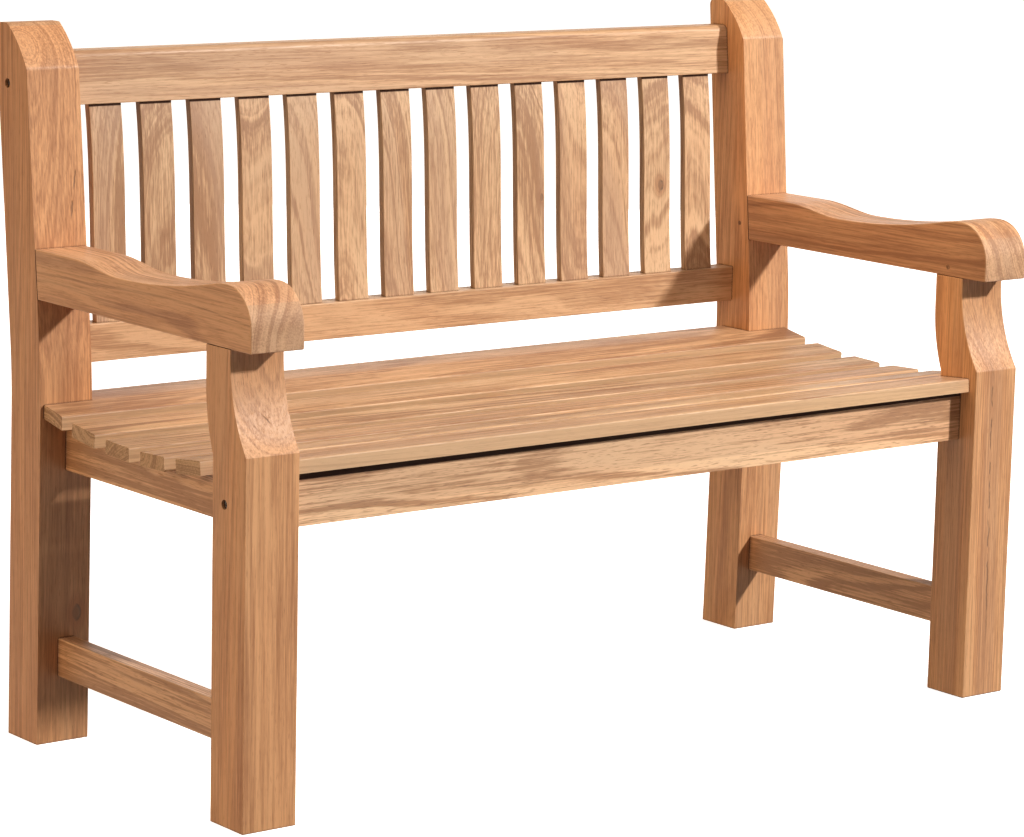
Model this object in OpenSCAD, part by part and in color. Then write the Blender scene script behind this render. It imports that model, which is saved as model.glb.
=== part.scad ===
// Garden bench in heavy square timber: four posts, two arms, a slatted back and
// a dished slatted seat, held together by mortise and tenon joints, bolts and pins.
// +Z is up, +X runs along the bench and -Y is the side people sit on.
// The origin is on the floor at the middle of the bench.

/* [Overall] */
// Length over the legs
bench_length = 1250; // [1100:10:1800]
// Height of the back legs
bench_height = 915; // [880:5:960]
// Width of every leg and arm, seen from the front
timber_width = 75; // [66:1:80]
// Distance from the front legs' front faces to the back legs' front faces, at the floor
leg_spacing = 476; // [470:1:490]

/* [Front legs] */
// Depth of a front leg below the seat
front_leg_depth = 70; // [66:1:76]
// Height of the knee, where the front leg starts to step back
knee_height = 452; // [448:1:458]
// How far the front face steps back above the knee
knee_step = 35; // [28:1:38]
// Depth of a front leg under the arm
front_leg_neck = 51; // [44:1:54]
// Height of the arms' undersides
arm_height = 575; // [570:1:590]

/* [Back legs] */
// Depth of a back leg
back_leg_depth = 72; // [68:1:76]
// Forward lean of a back leg below the seat, in degrees
lower_lean = 1.3; // [0.5:0.1:2]
// Backward rake of a back leg above the seat, in degrees
upper_rake = 4.9; // [4:0.1:6]
// Height at which the lean turns into the rake
bend_height = 473; // [468:1:478]
// Height of the sloping cut at the top of the front face
crown_height = 56; // [45:1:65]
// Depth of the sloping cut at the top of the front face
crown_depth = 48; // [40:1:52]

/* [Arms] */
// How far an arm's nose stands out in front of the front leg
nose_overhang = 8; // [4:1:14]
// Radius of the nose
nose_radius = 50; // [44:1:52]
// Thickness of an arm at its dip
dip_thickness = 52; // [46:1:56]
// Extra thickness at the back of an arm
rear_rise = 11; // [6:1:14]

/* [Back] */
// Height of the top rail
top_rail_height = 68; // [60:1:72]
// Drop from the tops of the back legs to the top rail
top_rail_drop = 37; // [32:1:44]
// Height of the lower back rail
lower_rail_height = 49; // [44:1:54]
// Height of the lower back rail's underside
lower_rail_level = 483; // [480:1:490]
// Gap between the outermost back slats and the back legs
back_end_gap = 35; // [20:1:50]
// Width of a back slat
back_slat_width = 48; // [44:1:50]
// Thickness of a back slat
back_slat_thick = 11; // [10:0.5:12]

/* [Seat] */
// Height of the seat at its lowest line
seat_low = 421; // [418:1:424]
// Radius of the dish across the seat
dish_radius = 1020; // [1000:10:1200]
// Thickness of a seat slat
seat_slat_thick = 18; // [17:0.5:19]
// Width of the front seat slat
front_slat_width = 67; // [65:0.5:68]
// Width of the four middle seat slats
seat_slat_width = 54; // [52:0.5:55]
// Gap between two seat slats
seat_slat_gap = 25; // [24:0.5:27]
// Setback of the slats' ends from the legs' outer faces
slat_end_setback = 5; // [3:1:10]

/* [Rails] */
// Thickness of the rails
rail_thick = 32; // [28:1:34]
// Height of the rails' undersides
rail_level = 356; // [350:1:360]
// Setback of the front rail from the front legs' front faces
front_rail_setback = 29; // [27:1:31]
// Height of the underside of the low stretchers
stretcher_level = 87; // [60:1:140]
// Height of a low stretcher
stretcher_height = 50; // [40:1:60]
// Thickness of a low stretcher
stretcher_thick = 24; // [20:1:28]

/* [Hidden] */
$fn = 48;

// Colours of the timbers and the metal
TEAK = [0.80, 0.58, 0.38];
TEAK_PALE = [0.86, 0.66, 0.46];
TEAK_DARK = [0.66, 0.44, 0.27];
STEEL = [0.62, 0.62, 0.64];

// Play round a tenon, pin, bolt or dowel in its hole
play = 0.2;
// Extra length that takes a cut clear through a face, or roots a tenon in its rail
over = 1;
// Steps in each round stretch of an outline
arc_steps = 12;

// Places along X. All depths below run back from the front legs' front faces
outer_x = bench_length / 2;
inner_x = outer_x - timber_width;
leg_mid_x = outer_x - timber_width / 2;

// Back leg: the front face below and above the bend, and the arc that joins them
bend_y = leg_spacing - bend_height * tan(lower_lean);
bend_reach = 42;
bend_turn = lower_lean + upper_rake;
bend_radius = bend_reach / tan(bend_turn / 2);
bend_out = bend_radius / cos(bend_turn / 2);
bend_aim = (lower_lean - upper_rake) / 2;
function lower_face(z) = leg_spacing - z * tan(lower_lean);
function upper_face(z) = bend_y + (z - bend_height) * tan(upper_rake);

// Back leg: the sloping cut and the rounded corner at its top
crown_bow = 4.5;
corner_round = 10;
crown_z = bench_height - crown_height;
corner_z = bench_height - corner_round;
corner_y = upper_face(corner_z) + back_leg_depth - corner_round / cos(upper_rake);

// The bench reaches from the arms' noses to the top corners of the back legs
middle_y = (corner_y + corner_round - nose_overhang) / 2;

// Front leg: the scoop above the knee, and the heel behind it
scoop_height = 113;
scoop_top = knee_height + scoop_height;
scoop_radius = (pow(knee_step, 2) + pow(scoop_height, 2)) / (2 * knee_step);
heel_height = 85;
heel_top = knee_height - 7 + heel_height;
heel_step = knee_step + front_leg_neck - front_leg_depth;
heel_radius = (pow(heel_step, 2) + pow(heel_height, 2)) / (2 * heel_step);
neck_mid_y = knee_step + front_leg_neck / 2;

// Arm: crest above the nose, hollow, and the step up towards the back leg
crest_y = nose_radius - nose_overhang;
crest_z = arm_height + 75.5;
dip_y = 275;
dip_z = arm_height + dip_thickness;
join_y = 76;
hollow = (crest_z - dip_z) / ((dip_y - crest_y) * (dip_y - join_y));
crest = hollow * (dip_y - join_y) / (join_y - crest_y);
step_start = 285;
step_end = 390;
arm_rear_z = dip_z + rear_rise;
function step_part(y) = min(1, max(0, (y - step_start) / (step_end - step_start)));
function arm_top(y) =
    y < join_y ? crest_z - crest * pow(y - crest_y, 2)
    : y < dip_y ? dip_z + hollow * pow(dip_y - y, 2)
    : dip_z + rear_rise * (1 - cos(180 * step_part(y))) / 2;

// Back rails, set back from the front faces of the back legs
rail_set = 35.5;
top_rail_base = bench_height - top_rail_drop - top_rail_height;
top_rail_top = bench_height - top_rail_drop;
top_rail_round = 9;
lower_rail_top = lower_rail_level + lower_rail_height;
lower_rail_y = upper_face(lower_rail_top) + rail_set;
function top_rail_face(z) = upper_face(z) + rail_set;

// Back slats: the slope of the front face, run over rise, goes from foot to waist to head
slat_count = 14;
slat_pitch = (2 * inner_x - 2 * back_end_gap - back_slat_width) / (slat_count - 1);
slat_rise = top_rail_base - lower_rail_top;
foot_slope = 0.11;
waist_slope = 0.04;
head_slope = 0.16;
bow_1 = 4 * waist_slope - 3 * foot_slope - head_slope;
bow_2 = 2 * (head_slope + foot_slope - 2 * waist_slope);
function slat_run(t) = slat_rise * (foot_slope * t + bow_1 * pow(t, 2) / 2 + bow_2 * pow(t, 3) / 3);
slat_head_y = top_rail_face(top_rail_base) + 3;
slat_foot_y = slat_head_y - slat_run(1);
function back_slat_x(i) = (i - (slat_count + 1) / 2) * slat_pitch;

// Seat slats, counted from the front: the middle four lie along the dish
dish_y = 255;
front_slat_y = 14;
front_slat_tilt = -4.6;
front_slat_lift = 17.5;
seat_pitch = seat_slat_width + seat_slat_gap;
function dish(y) = seat_low + dish_radius - sqrt(pow(dish_radius, 2) - pow(y - dish_y, 2));
function slat_width(k) = k == 1 ? front_slat_width : seat_slat_width;
function seat_y(k) = front_slat_y + front_slat_width + (k - 1) * seat_pitch - slat_width(k) / 2;
function seat_z(k) = k == 1 ? seat_low + front_slat_lift : dish(seat_y(k));
function seat_tilt(k) = k == 1 ? front_slat_tilt : asin((seat_y(k) - dish_y) / dish_radius);
slat_end_x = outer_x - slat_end_setback;

// Rear seat slat: it slopes up to the back legs, then lies flat between them
rear_slat_start = front_slat_y + front_slat_width + 5 * seat_pitch - seat_slat_width;
rear_slat_end = rear_slat_start + 105;
rear_slat_z = seat_low + 22;
rear_slat_flat = lower_face(rear_slat_z) + 2;
rear_slope = (rear_slat_z - dish(rear_slat_start)) / (rear_slat_flat - rear_slat_start);
function rear_top(y) = rear_slat_z - rear_slope * max(0, rear_slat_flat - y);
function rear_under(y) = rear_top(y) - seat_slat_thick;

// Underside of a front or middle seat slat: its front edge (side -1) or rear edge (side 1)
function seat_under(k, side) =
    let (tilt = seat_tilt(k), reach = side * slat_width(k) / 2)
    [seat_y(k) + reach * cos(tilt) + seat_slat_thick * sin(tilt),
     seat_z(k) + reach * sin(tilt) - seat_slat_thick * cos(tilt)];
function front_under(y) =
    seat_z(1) - seat_slat_thick / cos(front_slat_tilt) + (y - seat_y(1)) * tan(front_slat_tilt);
middle_unders = [for (k = [2:5]) for (side = [-1, 1]) seat_under(k, side)];

// Seat rails and the stretchers near the floor
front_rail_y = front_rail_setback;
front_rail_back = front_rail_y + rail_thick;
rear_rail_y = 490;
rear_rail_height = rear_slat_z - seat_slat_thick - rail_level;
side_rail_thick = 30;
side_rail_x = outer_x - 67.5;
side_rail_mid = side_rail_x + side_rail_thick / 2;
side_rail_end = lower_face(rear_slat_z - seat_slat_thick);
bearer_thick = 30;
bearer_base = rail_level + 22;
stretcher_mid = outer_x - 41.5;
stretcher_top = stretcher_level + stretcher_height;

// Tenons
tenon_thick = 16;
tenon_shoulder = 9;
stub_length = 12;
rail_tenon_length = 30;
side_tenon_thick = 14;
side_tenon_height = 40;
front_side_tenon = 18;
rear_side_tenon = 25;
stretcher_tenon = [12, 20, 34];
arm_tenon = [30, 36, 40];
neck_tenon = [30, 30, 34];
slat_tenon = [40, 7, 12];
bearer_tenon = [16, 10, 24];

// Bolts, barrel nuts, pins and dowels
bolt_d = 6;
bolt_play = 0.3;
bolt_length = 100;
bolt_head_d = 10;
bolt_head_height = 6;
socket_d = 5.8;
socket_depth = 3.5;
counterbore_d = 12;
counterbore_depth = 10;
nut_d = 10;
nut_length = 20;
bolt_start_x = outer_x - counterbore_depth;
nut_x = bolt_start_x - bolt_length + 8;
front_bolt = [front_rail_y + rail_thick / 2, rail_level + 34];
top_bolt_z = top_rail_base + 30;
top_bolt = [top_rail_face(top_bolt_z) + 14, top_bolt_z];
pin_d = 6;
pin_length = 60;
neck_pin = [neck_mid_y + 3, arm_height + 12];
arm_pin = [upper_face(arm_height) + 20, arm_height + 22];
dowel_d = 8;
dowel_half = 10;
side_dowel_y = rear_slat_start + 16;
rear_dowel_y = rear_rail_y + rail_thick / 2;
dowel_spread = 400;

// Even steps from a to b
function steps(a, b) = [for (i = [0:arc_steps]) a + (b - a) * i / arc_steps];

// Points of an arc about [cy, cz], from angle a to angle b
function arc(cy, cz, r, a, b) =
    [for (turn = steps(a, b)) [cy + r * cos(turn), cz + r * sin(turn)]];

// Points from p to q along a shallow bow that stands out to the left
function bow(p, q, rise) =
    let (run = q - p, left = [-run[1], run[0]] / norm(run))
    [for (t = steps(0, 1)) p + run * t + left * 4 * rise * t * (1 - t)];

// The bend in a back leg, from bottom to top, moved back by shift
function leg_bend(shift) =
    arc(bend_y + shift + bend_out * cos(bend_aim), bend_height + bend_out * sin(bend_aim),
        bend_radius, 180 + lower_lean, 180 - upper_rake);

function reversed(list) = [for (i = [len(list) - 1:-1:0]) list[i]];

// A board that runs along X from x, with its outline drawn in Y and Z
module board(x, width) {
    translate([x, 0, 0]) rotate([90, 0, 90]) linear_extrude(width) children();
}

// A rod along X between x0 and x1, at [y, z]
module rod_x(x0, x1, at, d) {
    translate([x0, at[0], at[1]]) rotate([0, 90, 0]) cylinder(h = x1 - x0, d = d);
}

// A block given by its low corner and size, grown by gap on every side
module block(low, size, gap = 0) {
    translate(low - [gap, gap, gap]) cube(size + 2 * [gap, gap, gap]);
}

// The same piece on both sides of the bench
module both_sides() {
    children();
    mirror([1, 0, 0]) children();
}

// The right-hand piece, or its mirror image on the left
module on_side(left) {
    mirror([left ? 1 : 0, 0, 0]) children();
}

// Moves the bench so that its depth is centred on the origin
module placed() {
    translate([0, -middle_y, 0]) children();
}

// Tenons of the right-hand joints. Each is a pocket too, once gap is added
module neck_tenon_block(gap = 0) {
    block([leg_mid_x - neck_tenon[0] / 2, neck_mid_y - neck_tenon[1] / 2, arm_height - over],
          neck_tenon + [0, 0, over], gap);
}

module arm_tenon_block(gap = 0) {
    block([leg_mid_x - arm_tenon[0] / 2, upper_face(arm_height) - 2, arm_height + 10], arm_tenon, gap);
}

module front_rail_tenon(gap = 0) {
    block([inner_x - over, front_rail_y + (rail_thick - tenon_thick) / 2, rail_level + tenon_shoulder],
          [stub_length + over, tenon_thick, side_tenon_height], gap);
}

module rear_rail_tenon(gap = 0) {
    block([inner_x - over, rear_rail_y + (rail_thick - tenon_thick) / 2, rail_level + tenon_shoulder],
          [rail_tenon_length + over, tenon_thick, rear_rail_height - 2 * tenon_shoulder], gap);
}

module lower_rail_tenon(gap = 0) {
    block([inner_x - over, lower_rail_y + (rail_thick - tenon_thick) / 2, lower_rail_level + tenon_shoulder],
          [rail_tenon_length + over, tenon_thick, lower_rail_height - 2 * tenon_shoulder], gap);
}

module top_rail_tenon(gap = 0) {
    low = top_rail_base + tenon_shoulder - gap;
    high = top_rail_top - tenon_shoulder + gap;
    cheek = (rail_thick - tenon_thick) / 2 - gap;
    board(inner_x - over, stub_length + over + gap) polygon([
        [top_rail_face(low) + cheek, low],
        [top_rail_face(low) + rail_thick - cheek, low],
        [top_rail_face(high) + rail_thick - cheek, high],
        [top_rail_face(high) + cheek, high]
    ]);
}

module side_rail_tenons(gap = 0) {
    low_x = side_rail_mid - side_tenon_thick / 2;
    low_z = rail_level + tenon_shoulder;
    block([low_x, front_leg_depth - front_side_tenon, low_z],
          [side_tenon_thick, front_side_tenon + over, side_tenon_height], gap);
    block([low_x, side_rail_end - 2 * over, low_z],
          [side_tenon_thick, rear_side_tenon + 2 * over, side_tenon_height], gap);
}

module stretcher_tenons(gap = 0) {
    low_z = (stretcher_level + stretcher_top - stretcher_tenon[2]) / 2;
    low = [stretcher_mid - stretcher_tenon[0] / 2, 0, low_z];
    block(low + [0, front_leg_depth - stretcher_tenon[1], 0], stretcher_tenon + [0, over, 0], gap);
    block(low + [0, lower_face(stretcher_top) - over, 0], stretcher_tenon + [0, over, 0], gap);
}

module back_slat_tenons(x, gap = 0) {
    inset = (back_slat_thick - slat_tenon[1]) / 2;
    block([x - slat_tenon[0] / 2, slat_foot_y + inset, lower_rail_top - slat_tenon[2]],
          slat_tenon + [0, 0, over], gap);
    block([x - slat_tenon[0] / 2, slat_head_y + inset, top_rail_base - over],
          slat_tenon + [0, 0, over], gap);
}

module bearer_tenons(gap = 0) {
    low = [-bearer_tenon[0] / 2, 0, bearer_base + 4];
    block(low + [0, front_rail_back - bearer_tenon[1], 0], bearer_tenon + [0, over, 0], gap);
    block(low + [0, rear_rail_y - over, 0], bearer_tenon + [0, over, 0], gap);
}

// Right-hand hole for a bolt at [y, z]: counterbore and clearance through leg and rail
module bolt_hole(at) {
    rod_x(bolt_start_x, outer_x + over, at, counterbore_d);
    rod_x(bolt_start_x - bolt_length - 2, bolt_start_x + over, at, bolt_d + 2 * bolt_play);
}

// Right-hand pocket for a barrel nut, open at the back of the rail
module nut_hole(at) {
    translate([nut_x, at[0] - nut_length / 2 - play, at[1]]) rotate([-90, 0, 0])
        cylinder(h = nut_length + rail_thick, d = nut_d + 2 * play);
}

// Right-hand holes for the pins of the arm joints
module pin_hole(at) {
    rod_x(inner_x - over, inner_x + pin_length + over, at, pin_d + play);
}

// A dowel under seat slat k, and one under the rear seat slat
module slat_dowel(k, x, gap = 0) {
    translate([x, seat_y(k), seat_z(k)]) rotate([seat_tilt(k), 0, 0])
        translate([0, 0, -seat_slat_thick - dowel_half - gap])
            cylinder(h = 2 * (dowel_half + gap), d = dowel_d + 2 * gap);
}

module rear_dowel(x, y, gap = 0) {
    translate([x, y, rear_under(y) - dowel_half - gap])
        cylinder(h = 2 * (dowel_half + gap), d = dowel_d + 2 * gap);
}

module leg_front(left) {
    color(TEAK) placed() on_side(left) difference() {
        union() {
            board(inner_x, timber_width) polygon(concat(
                [[front_leg_depth, 0], [0, 0]],
                arc(knee_step - scoop_radius, scoop_top, scoop_radius, -asin(scoop_height / scoop_radius), 0),
                [[knee_step, arm_height], [knee_step + front_leg_neck, arm_height]],
                arc(knee_step + front_leg_neck - heel_radius, heel_top, heel_radius,
                    0, -asin(heel_height / heel_radius))
            ));
            neck_tenon_block();
        }
        front_rail_tenon(play);
        side_rail_tenons(play);
        stretcher_tenons(play);
        bolt_hole(front_bolt);
        pin_hole(neck_pin);
    }
}

module leg_back(left) {
    color(TEAK) placed() on_side(left) difference() {
        board(inner_x, timber_width) polygon(concat(
            [[leg_spacing, 0]],
            leg_bend(0),
            bow([upper_face(crown_z), crown_z], [upper_face(crown_z) + crown_depth, bench_height], crown_bow),
            arc(corner_y, corner_z, corner_round, 90, -upper_rake),
            reversed(leg_bend(back_leg_depth)),
            [[leg_spacing + back_leg_depth, 0]]
        ));
        arm_tenon_block(play);
        rear_rail_tenon(play);
        lower_rail_tenon(play);
        top_rail_tenon(play);
        side_rail_tenons(play);
        stretcher_tenons(play);
        bolt_hole(top_bolt);
        pin_hole(arm_pin);
    }
}

module arm(left) {
    color(TEAK_PALE) placed() on_side(left) difference() {
        union() {
            board(inner_x, timber_width) polygon(concat(
                [[-nose_overhang, arm_height]],
                arc(crest_y, crest_z - nose_radius, nose_radius, 180, 90),
                [for (y = steps(crest_y, join_y)) if (y > crest_y && y < join_y) [y, arm_top(y)]],
                [for (y = steps(join_y, dip_y)) [y, arm_top(y)]],
                [for (y = steps(step_start, step_end)) [y, arm_top(y)]],
                [[upper_face(arm_rear_z), arm_rear_z], [upper_face(arm_height), arm_height]]
            ));
            arm_tenon_block();
        }
        neck_tenon_block(play);
        pin_hole(neck_pin);
        pin_hole(arm_pin);
    }
}

module rail_back_top() {
    foot_y = top_rail_face(top_rail_base);
    head_y = top_rail_face(top_rail_top);
    color(TEAK) placed() difference() {
        union() {
            board(-inner_x, 2 * inner_x) polygon(concat(
                [[foot_y, top_rail_base]],
                arc(head_y + top_rail_round, top_rail_top - top_rail_round, top_rail_round, 180, 90),
                [[head_y + rail_thick, top_rail_top], [foot_y + rail_thick, top_rail_base]]
            ));
            both_sides() top_rail_tenon();
        }
        for (i = [1:slat_count]) back_slat_tenons(back_slat_x(i), play);
        both_sides() {
            bolt_hole(top_bolt);
            nut_hole(top_bolt);
        }
    }
}

module rail_back_lower() {
    color(TEAK) placed() difference() {
        union() {
            block([-inner_x, lower_rail_y, lower_rail_level], [2 * inner_x, rail_thick, lower_rail_height]);
            both_sides() lower_rail_tenon();
        }
        for (i = [1:slat_count]) back_slat_tenons(back_slat_x(i), play);
    }
}

module back_slat(i) {
    front = [for (t = steps(0, 1)) [slat_foot_y + slat_run(t), lower_rail_top + slat_rise * t]];
    back = [for (p = reversed(front)) p + [back_slat_thick, 0]];
    color(i % 2 == 0 ? TEAK_PALE : TEAK) placed() {
        board(back_slat_x(i) - back_slat_width / 2, back_slat_width) polygon(concat(front, back));
        back_slat_tenons(back_slat_x(i));
    }
}

// Front and middle seat slats. The front one fits between the legs
module seat_slat(k) {
    reach = k == 1 ? inner_x : slat_end_x;
    dowel_x = k == 1 ? dowel_spread : side_rail_mid;
    size = [2 * reach, slat_width(k), seat_slat_thick];
    color(k % 2 == 0 ? TEAK : TEAK_PALE) placed() difference() {
        translate([0, seat_y(k), seat_z(k)]) rotate([seat_tilt(k), 0, 0])
            block([-reach, -slat_width(k) / 2, -seat_slat_thick], size);
        for (x = [-dowel_x, 0, dowel_x]) slat_dowel(k, x, play);
    }
}

module seat_slat_rear() {
    tops = [rear_slat_start, rear_slat_flat, rear_slat_end];
    color(TEAK) placed() difference() {
        board(-slat_end_x, 2 * slat_end_x) polygon(concat(
            [for (y = tops) [y, rear_top(y)]],
            [for (y = reversed(tops)) [y, rear_under(y)]]
        ));
        both_sides() board(inner_x - play, timber_width) polygon([
            [lower_face(rail_level) - play, rail_level],
            [lower_face(scoop_top) - play, scoop_top],
            [rear_slat_end + over, scoop_top],
            [rear_slat_end + over, rail_level]
        ]);
        for (x = [-side_rail_mid, 0, side_rail_mid]) rear_dowel(x, side_dowel_y, play);
        for (x = [-dowel_spread, 0, dowel_spread]) rear_dowel(x, rear_dowel_y, play);
    }
}

module rail_seat_front() {
    color(TEAK) placed() difference() {
        union() {
            board(-inner_x, 2 * inner_x) polygon([
                [front_rail_y, rail_level],
                [front_rail_y, front_under(front_rail_y)],
                [front_rail_back, front_under(front_rail_back)],
                [front_rail_back, rail_level]
            ]);
            both_sides() front_rail_tenon();
        }
        both_sides() {
            bolt_hole(front_bolt);
            nut_hole(front_bolt);
        }
        bearer_tenons(play);
        for (x = [-dowel_spread, 0, dowel_spread]) slat_dowel(1, x, play);
    }
}

module rail_seat_rear() {
    color(TEAK_DARK) placed() difference() {
        union() {
            block([-inner_x, rear_rail_y, rail_level],
                  [2 * inner_x, rail_thick, rear_rail_height]);
            both_sides() rear_rail_tenon();
        }
        bearer_tenons(play);
        for (x = [-dowel_spread, 0, dowel_spread]) rear_dowel(x, rear_dowel_y, play);
    }
}

module rail_seat_side(left) {
    end_y = side_rail_end;
    color(TEAK_DARK) placed() on_side(left) difference() {
        union() {
            board(side_rail_x, side_rail_thick) polygon(concat(
                [[front_leg_depth, rail_level], [front_leg_depth, middle_unders[0][1]]],
                middle_unders,
                [[rear_slat_start, rear_under(rear_slat_start)], [end_y, rear_under(end_y)]],
                [[lower_face(rail_level), rail_level]]
            ));
            side_rail_tenons();
        }
        for (k = [2:5]) slat_dowel(k, side_rail_mid, play);
        rear_dowel(side_rail_mid, side_dowel_y, play);
    }
}

// Bearer under the middle of the seat, from the front rail to the rear rail
module seat_bearer() {
    rear_corners = [for (y = [rear_slat_start, rear_slat_flat, rear_rail_y]) [y, rear_under(y)]];
    color(TEAK_DARK) placed() difference() {
        union() {
            board(-bearer_thick / 2, bearer_thick) polygon(concat(
                [[front_rail_back, bearer_base], [front_rail_back, front_under(front_rail_back)]],
                [seat_under(1, 1)],
                middle_unders,
                rear_corners,
                [[rear_rail_y, bearer_base]]
            ));
            bearer_tenons();
        }
        for (k = [2:5]) slat_dowel(k, 0, play);
        rear_dowel(0, side_dowel_y, play);
    }
}

module stretcher(left) {
    color(TEAK_DARK) placed() on_side(left) {
        board(stretcher_mid - stretcher_thick / 2, stretcher_thick) polygon([
            [front_leg_depth, stretcher_level],
            [front_leg_depth, stretcher_top],
            [lower_face(stretcher_top), stretcher_top],
            [lower_face(stretcher_level), stretcher_level]
        ]);
        stretcher_tenons();
    }
}

// Bolts with socket heads, sunk in the legs
module bolts() {
    color(STEEL) placed() both_sides() for (at = [front_bolt, top_bolt]) difference() {
        union() {
            rod_x(bolt_start_x - bolt_length, bolt_start_x + over, at, bolt_d);
            rod_x(bolt_start_x, bolt_start_x + bolt_head_height, at, bolt_head_d);
        }
        translate([bolt_start_x + bolt_head_height - socket_depth, at[0], at[1]]) rotate([0, 90, 0])
            cylinder(h = socket_depth + over, d = socket_d, $fn = 6);
    }
}

module barrel_nuts() {
    color(STEEL) placed() both_sides() for (at = [front_bolt, top_bolt]) difference() {
        translate([nut_x, at[0] - nut_length / 2, at[1]]) rotate([-90, 0, 0])
            cylinder(h = nut_length, d = nut_d);
        rod_x(nut_x - nut_d, nut_x + nut_d, at, bolt_d + play);
    }
}

// Pins through the arms' joints, flush with the inner faces
module joint_pins() {
    color(TEAK_DARK) placed() both_sides() for (at = [neck_pin, arm_pin])
        rod_x(inner_x, inner_x + pin_length, at, pin_d);
}

// Dowels that hold the seat slats down on the rails
module slat_dowels() {
    color(TEAK_PALE) placed() {
        for (x = [-dowel_spread, 0, dowel_spread]) {
            slat_dowel(1, x);
            rear_dowel(x, rear_dowel_y);
        }
        for (x = [-side_rail_mid, 0, side_rail_mid]) {
            for (k = [2:5]) slat_dowel(k, x);
            rear_dowel(x, side_dowel_y);
        }
    }
}

leg_front(true);  // leg_front_left
leg_front(false);  // leg_front_right
leg_back(true);  // leg_back_left
leg_back(false);  // leg_back_right
arm(true);  // arm_left
arm(false);  // arm_right
rail_back_top();
rail_back_lower();
back_slat(1);  // back_slat_01
back_slat(2);  // back_slat_02
back_slat(3);  // back_slat_03
back_slat(4);  // back_slat_04
back_slat(5);  // back_slat_05
back_slat(6);  // back_slat_06
back_slat(7);  // back_slat_07
back_slat(8);  // back_slat_08
back_slat(9);  // back_slat_09
back_slat(10);  // back_slat_10
back_slat(11);  // back_slat_11
back_slat(12);  // back_slat_12
back_slat(13);  // back_slat_13
back_slat(14);  // back_slat_14
seat_slat(1);  // seat_slat_front
seat_slat(2);  // seat_slat_2
seat_slat(3);  // seat_slat_3
seat_slat(4);  // seat_slat_4
seat_slat(5);  // seat_slat_5
seat_slat_rear();
rail_seat_front();
rail_seat_rear();
rail_seat_side(true);  // rail_seat_left
rail_seat_side(false);  // rail_seat_right
seat_bearer();
stretcher(true);  // stretcher_left
stretcher(false);  // stretcher_right
bolts();
barrel_nuts();
joint_pins();
slat_dowels();
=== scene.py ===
"""The looks of the garden bench: eased teak timbers, steel bolts, a pale floor and soft light."""
import math
import random
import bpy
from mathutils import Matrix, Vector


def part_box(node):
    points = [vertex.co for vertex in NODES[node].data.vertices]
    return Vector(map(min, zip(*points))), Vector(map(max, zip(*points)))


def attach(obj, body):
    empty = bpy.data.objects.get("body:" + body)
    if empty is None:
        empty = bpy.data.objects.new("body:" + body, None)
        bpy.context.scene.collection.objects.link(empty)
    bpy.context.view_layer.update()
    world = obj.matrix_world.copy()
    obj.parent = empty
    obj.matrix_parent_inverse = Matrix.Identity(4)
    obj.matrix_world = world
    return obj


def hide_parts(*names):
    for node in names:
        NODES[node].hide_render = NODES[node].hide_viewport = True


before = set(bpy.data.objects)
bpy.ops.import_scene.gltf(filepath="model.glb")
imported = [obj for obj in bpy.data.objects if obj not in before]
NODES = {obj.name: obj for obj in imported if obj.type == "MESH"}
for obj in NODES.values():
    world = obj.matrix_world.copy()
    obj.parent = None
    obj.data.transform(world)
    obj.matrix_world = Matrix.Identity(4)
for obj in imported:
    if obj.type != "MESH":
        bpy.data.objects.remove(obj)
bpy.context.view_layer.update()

from types import SimpleNamespace

import bmesh
import bpy
from mathutils import Matrix, Vector
from mathutils.bvhtree import BVHTree

MM = 0.001

METAL = ("bolts", "barrel_nuts")
RODS = ("joint_pins", "slat_dowels")
TIMBERS = [n for n in NODES if n not in METAL + RODS]

# Easing of each kind of timber's edges
EASE = {
    "leg": 1.8 * MM,
    "arm": 2.0 * MM,
    "rail": 1.5 * MM,
    "back": 1.4 * MM,
    "seat": 1.2 * MM,
    "stretcher": 1.5 * MM,
}
EASE_STEPS = 3
# Rounding of the seat slats' long top edges
SEAT_ROUND = 2.5 * MM
SEAT_STEPS = 4
SHORTEST_SEAT_EDGE = 0.2
# The seat slats' rounded edges and front faces are made this much paler than other edges: wear on the
# edges, and painted highlight on the front faces, which catch the light
SEAT_WEAR_AND_HIGHLIGHT = 1.8
PEG_ROUND = 0.3 * MM
PEG_STEPS = 2

# The sharpest turn that a round stretch makes, and the least that a rounded edge's face turns
FACET_TURN = math.radians(28)
RIM_TURN = 0.08
SAME_PLANE = math.radians(0.3)
SAME_PLACE = 1e-6
# How far along a way a normal reaches, when its face faces that way dead on, squarely or roughly
DEAD_ON = 0.9
SQUARELY = 0.8
ROUGHLY = 0.6
# Room round a bore's rim, how far outside an edge another timber is looked for, and how far off
# that timber's nearest face may be
BORE_ROOM = 1.5 * MM
JUST_OUTSIDE = 1.2 * MM
NEARBY = 4 * MM


# ---------------------------------------------------------------- finding the outer edges

def loose_boxes(node):
    """The box of each separate solid in a CAD node."""
    bm = bmesh.new()
    bm.from_mesh(NODES[node].data)
    bmesh.ops.remove_doubles(bm, verts=bm.verts, dist=SAME_PLACE)
    left, found = set(bm.verts), []
    while left:
        group, stack = set(), [left.pop()]
        while stack:
            vert = stack.pop()
            group.add(vert)
            for edge in vert.link_edges:
                other = edge.other_vert(vert)
                if other in left:
                    left.discard(other)
                    stack.append(other)
        low = Vector(min(v.co[i] for v in group) for i in range(3))
        high = Vector(max(v.co[i] for v in group) for i in range(3))
        found.append((low, high))
    bm.free()
    return found


def bores():
    """(axis number, centre, radius) of each round hole in the timbers."""
    found = []
    for node, axis in (("bolts", 0), ("joint_pins", 0), ("barrel_nuts", 1)):
        for low, high in loose_boxes(node):
            across = [i for i in range(3) if i != axis]
            radius = max(high[i] - low[i] for i in across) / 2
            found.append((axis, (low + high) / 2, radius))
    return found


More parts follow.
